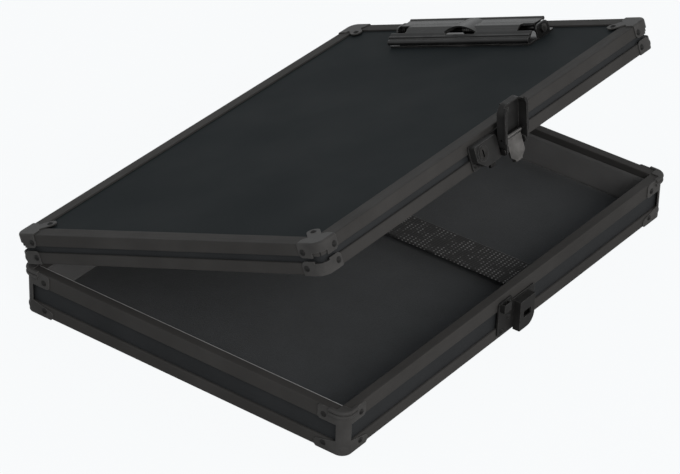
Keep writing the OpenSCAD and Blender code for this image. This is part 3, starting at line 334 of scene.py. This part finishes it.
# A painted highlight along the top inner edge of a trim: its width, and how far its two borders fade
LIP_HIGHLIGHT_W = 0.7 * MM
LIP_HIGHLIGHT_FADE = 0.2 * MM
LIP_HIGHLIGHT_GREY = 190


def trim_paint(name, turn, along, lip=None):
    """Satin black anodised extrusion: faint drawing lines along it, and edges painted lighter, as wear and as a
    painted edge highlight. lip is the top inner corner of a trim that gets a painted highlight there, a light
    strip along that edge."""
    paint = Paint(name, specular=0.03)
    lines = paint.noise(scale=30, detail=2, vector=paint.mapped(DRAWN_ALONG[along], turn))
    cloud = paint.noise(scale=22, detail=3)
    base = paint.ramp(cloud, grey(63, 0.03), grey(71, 0.03))
    # painted highlight: a light strip along the top inner edge, standing in for the light that a rounded edge
    # catches
    if lip:
        _, y, z = paint.coordinates()
        at_side = paint.range(y, 0, 1, lip.y - LIP_HIGHLIGHT_W - LIP_HIGHLIGHT_FADE, lip.y - LIP_HIGHLIGHT_W)
        on_top = paint.range(z, 0, 1, lip.z - 2 * LIP_HIGHLIGHT_FADE, lip.z - LIP_HIGHLIGHT_FADE)
        base = paint.mix(paint.math("MULTIPLY", at_side, on_top), base, grey(LIP_HIGHLIGHT_GREY))
    patches = paint.range(paint.noise(scale=160, detail=4), 0, 0.7, start=0.4, end=0.65)
    # edges painted lighter: wear, and a painted highlight along them
    paint.colour(paint.rubbed_and_highlit(base, grey(84, 0.02), radius=0.6 * MM, share=patches))
    paint.rough(paint.range(lines, 0.46, 0.62))
    paint.bump(lines, depth=0.03 * MM, strength=0.5, edge=0.6 * MM)
    return paint.material


def board_paint():
    """Black textured foil over the side boards: a fine pebble grain."""
    paint = Paint("board_foil", specular=0.05)
    where = {"Vector": paint.place, "Scale": 900}
    pebbles = paint.node("TexVoronoi", where, feature="DISTANCE_TO_EDGE").outputs["Distance"]
    fine = paint.math("MULTIPLY", paint.noise(scale=2600, detail=2), 0.4)
    cloud = paint.noise(scale=30, detail=3)
    paint.colour(paint.ramp(cloud, grey(49, -0.06), grey(55, -0.06)))
    paint.rough(paint.range(cloud, 0.42, 0.55))
    paint.bump(paint.math("ADD", pebbles, fine), depth=0.12 * MM, strength=0.6)
    return paint.material


# Linear colours of the writing surface, darkest and lightest
SLATE_LOW = (0.0150, 0.0185, 0.0200, 1)
SLATE_HIGH = (0.0170, 0.0208, 0.0224, 1)


def panel_paint():
    """Smooth dark slate hardboard of the writing surface."""
    paint = Paint("slate_panel", specular=0.04)
    cloud = paint.noise(scale=14, detail=4)
    paint.colour(paint.ramp(cloud, SLATE_LOW, SLATE_HIGH))
    paint.rough(paint.range(cloud, 0.6, 0.72))
    paint.bump(paint.noise(scale=3200, detail=3), depth=0.04 * MM, strength=0.5)
    return paint.material


def guard_paint():
    """Black lacquered sheet steel with a fine orange peel, and edges painted lighter as wear and as a painted
    highlight.
    """
    paint = Paint("guard_lacquer", specular=0.05)
    cloud = paint.noise(scale=60, detail=4)
    base = paint.ramp(cloud, grey(66, 0.02), grey(80, 0.02))
    patches = paint.range(paint.noise(scale=260, detail=4), 0.1, 1, start=0.35, end=0.6)
    # edges painted lighter: wear, and a painted highlight along them
    paint.colour(paint.rubbed_and_highlit(base, grey(105, 0.02), radius=0.5 * MM, share=patches))
    paint.rough(paint.range(cloud, 0.3, 0.42))
    peel = paint.noise(scale=700, detail=2)
    paint.bump(peel, depth=0.04 * MM, strength=0.35, edge=0.4 * MM)
    return paint.material


def hardware_paint():
    """Black zinc-coated stampings of the latch, the keeper and the hinge."""
    paint = Paint("hardware_black", specular=0.1)
    cloud = paint.noise(scale=90, detail=4)
    base = paint.ramp(cloud, grey(34, 0.01), grey(45, 0.01))
    patches = paint.range(paint.noise(scale=320, detail=4), 0.2, 1, start=0.35, end=0.6)
    # edges painted lighter: wear, and a painted highlight along them
    paint.colour(paint.rubbed_and_highlit(base, grey(96, 0.02), radius=0.4 * MM, share=patches))
    paint.rough(paint.range(cloud, 0.36, 0.5))
    grain = paint.noise(scale=900, detail=2)
    paint.bump(grain, depth=0.03 * MM, strength=0.3, edge=0.3 * MM)
    return paint.material


def clip_paint():
    """Glossy black plating of the clip, hazed with fine rubbing marks."""
    paint = Paint("clip_black", specular=0.25)
    rub = paint.noise(scale=20, detail=3, vector=paint.mapped((3, 60, 60), LID_TURN))
    cloud = paint.noise(scale=70, detail=3)
    base = paint.ramp(cloud, grey(30), grey(42))
    patches = paint.range(cloud, 0.3, 1)
    # edges painted lighter: wear, and a painted highlight along them
    paint.colour(paint.rubbed_and_highlit(base, grey(120, 0.03), radius=0.4 * MM, share=patches))
    paint.rough(paint.range(rub, 0.2, 0.3))
    paint.bump(rub, depth=0.02 * MM, strength=0.3, edge=0.4 * MM)
    return paint.material


def rivet_paint():
    """Dull black rivet heads."""
    paint = Paint("rivet_black", specular=0.12)
    cloud = paint.noise(scale=500, detail=3)
    paint.colour(paint.ramp(cloud, grey(28, 0.02), grey(40, 0.02)))
    paint.rough(paint.range(cloud, 0.3, 0.5))
    paint.bump(cloud, depth=0.03 * MM, strength=0.3)
    return paint.material


def steel_paint(name, level, roughness):
    """Plated steel, lightly scratched, around a grey level and a roughness."""
    paint = Paint(name, metallic=1.0)
    scratch = paint.noise(scale=400, detail=3, vector=paint.mapped((1, 12, 1)))
    cloud = paint.noise(scale=150, detail=3)
    paint.colour(paint.ramp(cloud, grey(level - 14, 0.03), grey(level + 10, 0.03)))
    paint.rough(paint.range(scratch, roughness - 0.06, roughness + 0.1))
    paint.bump(scratch, depth=0.02 * MM, strength=0.3)
    return paint.material


def felt_paint(name, level, warmth=0.0):
    """Short dark felt with loose fibres, around a grey level."""
    paint = Paint(name, specular=0.1, sheen=0.25, sheen_roughness=0.5)
    fibre = paint.noise(scale=1500, detail=4, roughness=0.7)
    cloud = paint.noise(scale=45, detail=4)
    fibre_part = paint.math("MULTIPLY", fibre, 0.6)
    cloud_part = paint.math("MULTIPLY", cloud, 0.4)
    mottle = paint.math("ADD", fibre_part, cloud_part)
    paint.colour(paint.ramp(mottle, grey(level - 8, warmth), grey(level + 8, warmth)))
    paint.rough(paint.range(cloud, 0.85, 0.95))
    paint.bump(fibre, depth=0.3 * MM, strength=0.7)
    return paint.material


# Painted glints on the strap's weave: the spacing of their rows, their step within a row, and their radius
GLINT_ROW = 3 * MM
GLINT_STEP = 2.4 * MM
GLINT_R = 0.7 * MM
# Share of a painted glint's radius that is fully light
GLINT_CORE = 0.6
GLINT_GREY = 150


def strap_paint():
    """Black woven elastic with broken rows of small painted glints across it."""
    paint = Paint("strap_weave", specular=0.15, sheen=0.2, sheen_roughness=0.5)
    x, y, _ = paint.coordinates()
    # painted glints: light dots in rows on the weave, broken up by noise
    across = paint.math("POWER", paint.repeat(x, GLINT_ROW), 2)
    along = paint.math("POWER", paint.repeat(y, GLINT_STEP), 2)
    reach = paint.math("SQRT", paint.math("ADD", across, along))
    glints = paint.range(reach, 1, 0, start=GLINT_R * GLINT_CORE, end=GLINT_R)
    kept = paint.range(paint.noise(scale=140, detail=2), 0, 1, start=0.42, end=0.58)
    fibre = paint.noise(scale=900, detail=3, vector=paint.mapped((1, 4, 1)))
    weave = paint.ramp(fibre, grey(36), grey(46))
    paint.colour(paint.mix(paint.math("MULTIPLY", glints, kept), weave, grey(GLINT_GREY)))
    paint.rough(paint.range(fibre, 0.7, 0.85))
    paint.bump(fibre, depth=0.1 * MM, strength=0.6)
    return paint.material


def make_materials():
    made = {
        "board": board_paint(),
        "panel": panel_paint(),
        "guard": guard_paint(),
        "rivet": rivet_paint(),
        "hardware": hardware_paint(),
        "clip": clip_paint(),
        "plated": steel_paint("plated_steel", level=84, roughness=0.34),
        "lock": steel_paint("black_nickel", level=42, roughness=0.3),
        "lining": felt_paint("lining_felt", level=68, warmth=-0.08),
        # the wall felt is painted lighter than the floor felt, level 104 against 68: painted light standing in for
        # the light on the walls
        "wall_lining": felt_paint("wall_felt_painted_lighter", level=104),
        "strap": strap_paint(),
    }
    for place, turn in (("tray", NO_TURN), ("lid", LID_TURN)):
        for along in "xy":
            made[f"trim_{place}_{along}"] = trim_paint(f"trim_{place}_{along}", turn, along)
    # the near rim trim gets the painted highlight along its top inner edge
    lip = node_box("rim_trim_near")[1]
    made["trim_lip_highlight"] = trim_paint("trim_lip_highlight", NO_TURN, "x", lip)
    return made


# Nodes whose finish isn't the one of their slot; the near rim trim's is its painted highlight
OTHER_FINISH = {
    "rim_trim_near": "trim_lip_highlight",
    "clip_base": "clip",
    "clip_lever": "clip",
    "lock_cylinder": "lock",
    "lock_bolt": "lock",
}


def dress_nodes(materials):
    """Gives each CAD node the material of its slot, or its other finish."""
    slots = {s["node"]: s["material_slot"] for s in frame["record"]["subparts"]}
    for name, node in frame["nodes"].items():
        key = slots[name]
        if key == "trim":
            place = "lid" if name in BODIES["lid"] else "tray"
            along = "y" if name.endswith(("right", "left")) else "x"
            key = f"trim_{place}_{along}"
        key = OTHER_FINISH.get(name, key)
        node.data.materials.clear()
        node.data.materials.append(materials[key])


# ---------------------------------------------------------------- soft pieces

LINING_R = 9 * MM
WALL_T = 1.2 * MM
LID_WALL_T = 0.8 * MM
LID_PAD_T = 1.0 * MM
SLOT_GAP = 0.2 * MM
CORNER_STEPS = 8
SIDE_STEPS = 36
WALL_ROWS = 8
# Evenly spaced points keep this far from a slot's edges
MARK_CLEAR = 1.5 * MM
# Outward directions with more than this in |x| + |y| are those of a corner's arc
STRAIGHT = 1.001
TINY = 1e-6
# The felt's slow unevenness: how far it goes, and its scale per metre
FELT_SWELL = 0.12 * MM
SWELL_SCALE = 30
# Height over which a felt strip's top is rounded, and the points of that rounding: share of the
# strip's thickness, and distance below the top
FELT_EDGE = 0.4 * MM
CROWN = ((0.25, 0.1 * MM), (0.6, 0), (0.9, 0.1 * MM))


def node_box(name, pose=Matrix()):
    """Lowest and highest corner of a CAD node, before pose took it to its place."""
    node = frame["nodes"][name]
    undo = pose.inverted() @ node.matrix_world
    corners = [undo @ v.co for v in node.data.vertices]
    return tuple(Vector([pick(c[i] for c in corners) for i in range(3)]) for pick in (min, max))


def swell(x, y, z, amount, scale=SWELL_SCALE):
    """Slow unevenness at a point, up to about amount either way."""
    return amount * noise.noise(Vector((x, y, z)) * scale)


def make_mesh(name, points, faces, pose=Matrix()):
    """Smooth mesh object whose faces all look outward."""
    mesh = bpy.data.meshes.new(name)
    mesh.from_pydata(points, [], faces)
    mesh.validate()
    bm = bmesh.new()
    bm.from_mesh(mesh)
    bmesh.ops.recalc_face_normals(bm, faces=bm.faces)
    bm.to_mesh(mesh)
    bm.free()
    mesh.polygons.foreach_set("use_smooth", [True] * len(mesh.polygons))
    made = bpy.data.objects.new(name, mesh)
    bpy.context.scene.collection.objects.link(made)
    made.matrix_world = pose
    return made


def finish_soft(piece, material, body):
    """Gives a soft piece its material and the body that it rides with."""
    piece.data.materials.append(material)
    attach(piece, body)


def side_stations(start, end, marks):
    """Places along a straight side, evenly spaced, with the marks among them."""
    even = [start + (end - start) * i / SIDE_STEPS for i in range(SIDE_STEPS)]
    low, high = min(start, end), max(start, end)
    kept = [m for m in marks if low < m < high]
    spare = [e for e in even if all(abs(e - m) > MARK_CLEAR for m in kept)]
    return sorted(spare + kept, reverse=end < start)


def rounded_loop(half_x, half_y, radius, marks=()):
    """Corner-rounded rectangle, anticlockwise: (x, y, outward x, outward y), where outward reaches
    a square corner's sides. marks are places in y that the two long sides pass through."""
    loop = []
    inner_x, inner_y = half_x - radius, half_y - radius
    sides = (
        (0, inner_x, inner_y, "y", -inner_y, inner_y),
        (90, -inner_x, inner_y, "x", inner_x, -inner_x),
        (180, -inner_x, -inner_y, "y", inner_y, -inner_y),
        (270, inner_x, -inner_y, "x", -inner_x, inner_x),
    )
    for turn, centre_x, centre_y, along, start, end in sides:
        out = (math.cos(math.radians(turn)), math.sin(math.radians(turn)))
        for place in side_stations(start, end, marks if along == "y" else ()):
            x, y = (out[0] * half_x, place) if along == "y" else (place, out[1] * half_y)
            loop.append((x, y, out[0], out[1]))
        for i in range(CORNER_STEPS):
            angle = math.radians(turn + 90 * i / CORNER_STEPS)
            c, s = math.cos(angle), math.sin(angle)
            reach = 1 / max(abs(c), abs(s))
            loop.append((centre_x + radius * c, centre_y + radius * s, c * reach, s * reach))
    return loop


def wall_levels(low_z, high_z, slot_low, slot_high):
    """Heights of a strip's rows of points, with the slot's floor and roof among them."""
    top = high_z - low_z - FELT_EDGE
    levels = [low_z + top * i / WALL_ROWS for i in range(WALL_ROWS + 1)]
    if slot_low:
        start, end = slot_low.z - MARK_CLEAR, slot_high.z + MARK_CLEAR
        levels = [z for z in levels if not start < z < end]
        levels = sorted(levels + [slot_low.z, slot_high.z])
    return levels


def wall_points(loop, profile, half_x, half_y, thick):
    """Points of a strip whose inner face follows the loop and whose outer corners are square."""
    points = []
    for x, y, out_x, out_y in loop:
        start_x, start_y, reach = x, y, thick
        if abs(out_x) + abs(out_y) > STRAIGHT:
            start_x = math.copysign(half_x - LINING_R, x)
            start_y = math.copysign(half_y - LINING_R, y)
            reach = LINING_R + thick
        outer_x, outer_y = start_x + out_x * reach, start_y + out_y * reach
        size = math.hypot(out_x, out_y)
        for share, z in profile:
            lift = swell(x, y, z, FELT_SWELL) * (1 - share)
            points.append((
                x + (outer_x - x) * share - lift * out_x / size,
                y + (outer_y - y) * share - lift * out_y / size,
                z,
            ))
    return points


def wall_faces(loop, levels, rows, slot_low, slot_high):
    """Faces of a strip, left out where the slot passes through it, with the slot's own faces."""
    columns, last = len(loop), len(levels) - 1
    faces = []

    def at(column, row):
        return (column % columns) * rows + row % rows

    def in_slot(column, row):
        here, following = loop[column % columns], loop[(column + 1) % columns]
        if not slot_low or abs(abs(here[2]) - 1) > TINY:
            return False
        low_y, high_y = slot_low.y - TINY, slot_high.y + TINY
        low_z, high_z = slot_low.z - TINY, slot_high.z + TINY
        inside = all(low_y <= point[1] <= high_y for point in (here, following))
        return inside and low_z <= levels[row] and levels[row + 1] <= high_z

    def line_slot(column, row):
        """The slot's floor and roof, and its ends where the next column isn't cut."""
        a, b = column, column + 1
        outer, outer_up = rows - 1 - row, rows - 2 - row
        faces.append((at(a, row), at(b, row), at(b, outer), at(a, outer)))
        faces.append((at(a, row + 1), at(b, row + 1), at(b, outer_up), at(a, outer_up)))
        for edge, neighbour in ((a, column - 1), (b, column + 1)):
            if not in_slot(neighbour, row):
                end = (row, row + 1, outer_up, outer)
                faces.append(tuple(at(edge, corner) for corner in end))

    for column in range(columns):
        for row in range(rows):
            # the outer face's rows run down, so they count back to those of the inner face
            inner_row = row if row < last else rows - 2 - row
            if not (0 <= inner_row < last and in_slot(column, inner_row)):
                a, b, up = column, column + 1, row + 1
                faces.append((at(a, row), at(b, row), at(b, up), at(a, up)))
            elif row < last:
                line_slot(column, row)
    return faces


def felt_wall(name, low, high, thick, slot_low=None, slot_high=None, pose=Matrix()):
    """Felt strip that lines the four walls between two corners of a box, with a slot for the strap
    in its two long sides."""
    half_x, half_y = high.x - thick, high.y - thick
    marks = (slot_low.y, slot_high.y) if slot_low else ()
    loop = rounded_loop(half_x, half_y, LINING_R, marks)
    levels = wall_levels(low.z, high.z, slot_low, slot_high)
    # across the strip: up the inner face, over the round top, down the outer face
    profile = [(0, z) for z in levels]
    profile += [(share, high.z - drop) for share, drop in CROWN]
    profile += [(1, z) for z in reversed(levels)]
    points = wall_points(loop, profile, half_x, half_y, thick)
    faces = wall_faces(loop, levels, len(profile), slot_low, slot_high)
    return make_mesh(name, points, faces, pose)


# A felt sheet's edge, from its hidden face round to its shown one: inset from the outline, the
# face that the depth is measured from, and the depth
SHEET_EDGE = (
    (0.15 * MM, "hidden", 0),
    (0, "hidden", 0.15 * MM),
    (0, "shown", 0.3 * MM),
    (0.15 * MM, "shown", 0.1 * MM),
    (0.5 * MM, "shown", 0),
)
RING_STEP = 6 * MM
# Width that is left in the middle, the least corner radius, and the inset where swelling starts
RING_END = 2 * MM
RING_R = 0.5 * MM
SWELL_INSET = 1 * MM


def felt_plate(name, low, high, face_up=True, pose=Matrix()):
    """Felt sheet laid flat, its shown face slightly uneven and its edge rounded."""
    shown, hidden, into = (high.z, low.z, -1) if face_up else (low.z, high.z, 1)
    start = {"shown": (shown, into), "hidden": (hidden, -into)}
    rings = []
    for inset, face, depth in SHEET_EDGE:
        z, sign = start[face]
        rings.append((inset, z + sign * depth))
    last_inset = SHEET_EDGE[-1][0]
    for i in range(int((high.x - RING_END) / RING_STEP)):
        rings.append((last_inset + RING_STEP * (i + 1), shown))
    points, faces = [], []
    for inset, z in rings:
        radius = max(LINING_R - inset, RING_R)
        for x, y, _, _ in rounded_loop(high.x - inset, high.y - inset, radius):
            lift = abs(swell(x, y, 0, FELT_SWELL)) if inset > SWELL_INSET else 0
            points.append((x, y, z + into * lift))
    count = len(points) // len(rings)
    for ring in range(len(rings) - 1):
        a, b = ring * count, (ring + 1) * count
        for i in range(count):
            j = (i + 1) % count
            faces.append((a + i, a + j, b + j, b + i))
    faces.append(tuple(range(count)))
    faces.append(tuple(len(points) - count + i for i in range(count)))
    return make_mesh(name, points, faces, pose)


STRAP_STEPS = 160
STRAP_RIB = 1.8 * MM
RIB_STEPS = 4
STRAP_RELIEF = 0.16 * MM
# How far the strap sags and narrows in the middle, and the power that spreads this to its ends
STRAP_SAG = 0.4 * MM
STRAP_NECK = 0.5 * MM
BELLY_POWER = 0.7
# How far the strap's faces drop at its two edges
SELVAGE_DROP = 0.35 * MM
# The weave's unevenness: how far it goes, and its scale per metre
WEAVE_SWELL = 0.06 * MM
WEAVE_SCALE = 60


def strap_ring(steps):
    """Across the strap: (share of its width, height of its rib, 0 at its two edges and else 1)."""
    ring = []
    for k in range(steps + 1):
        across = k / steps
        rib = 0.5 + 0.5 * math.cos(across * steps / RIB_STEPS * 2 * math.pi)
        selvage = min(1.0, min(across, 1 - across) * steps / 2)
        ring.append((across, rib, selvage))
    return ring


def elastic_strap(low, high):
    """Woven elastic held taut between the walls, ribbed along its length."""
    ring = strap_ring(round((high.y - low.y) / STRAP_RIB) * RIB_STEPS)
    middle = (low.y + high.y) / 2
    points, faces = [], []
    for i in range(STRAP_STEPS + 1):
        along = i / STRAP_STEPS
        x = low.x + (high.x - low.x) * along
        belly = math.sin(math.pi * along) ** BELLY_POWER
        half = (high.y - low.y) / 2 - STRAP_NECK * belly
        sag = STRAP_SAG * belly
        for across, rib, selvage in ring:
            y = middle + half * (2 * across - 1)
            top = high.z - STRAP_RELIEF * rib - SELVAGE_DROP * (1 - selvage) - sag
            points.append((x, y, top + swell(x, y, 0, WEAVE_SWELL, WEAVE_SCALE)))
        for across, rib, selvage in reversed(ring):
            y = middle + half * (2 * across - 1)
            bottom = low.z + STRAP_RELIEF * rib + SELVAGE_DROP * (1 - selvage) - sag
            points.append((x, y, bottom))
    count = 2 * len(ring)
    for i in range(STRAP_STEPS):
        a, b = i * count, (i + 1) * count
        for k in range(count):
            j = (k + 1) % count
            faces.append((a + k, a + j, b + j, b + k))
    faces.append(tuple(range(count)))
    faces.append(tuple(STRAP_STEPS * count + k for k in range(count)))
    return make_mesh("elastic_strap_weave", points, faces)


def make_soft_pieces(materials):
    """The tray's floor felt, wall felt and strap, and the lid's two felts."""
    felt, weave, wall_felt = materials["lining"], materials["strap"], materials["wall_lining"]

    low, high = node_box("floor_pad")
    pad = felt_plate("floor_felt", low, high)
    finish_soft(pad, felt, "tray")
    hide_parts("floor_pad")

    strap_low, strap_high = node_box("elastic_strap")
    gap = Vector((0, SLOT_GAP, SLOT_GAP))
    low, high = node_box("wall_lining")
    wall = felt_wall("wall_felt", low, high, WALL_T, strap_low - gap, strap_high + gap)
    finish_soft(wall, wall_felt, "tray")
    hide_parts("wall_lining")

    strap = elastic_strap(strap_low, strap_high)
    finish_soft(strap, weave, "tray")
    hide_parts("elastic_strap")

    low, high = node_box("lid_lining", LID_POSE)
    strip = felt_wall("lid_wall_felt", low, high, LID_WALL_T, pose=LID_POSE)
    finish_soft(strip, felt, "lid")
    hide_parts("lid_lining")
    low = Vector((low.x, low.y, high.z - LID_PAD_T))
    high = high - Vector((LID_WALL_T, LID_WALL_T, 0))
    ceiling = felt_plate("lid_ceiling_felt", low, high, face_up=False, pose=LID_POSE)
    finish_soft(ceiling, felt, "lid")


# ---------------------------------------------------------------- the scene

bpy.context.scene.view_settings.view_transform = "Standard"
make_world()
make_stage()
make_camera()
make_lights()
MATERIALS = make_materials()
dress_nodes(MATERIALS)
make_soft_pieces(MATERIALS)
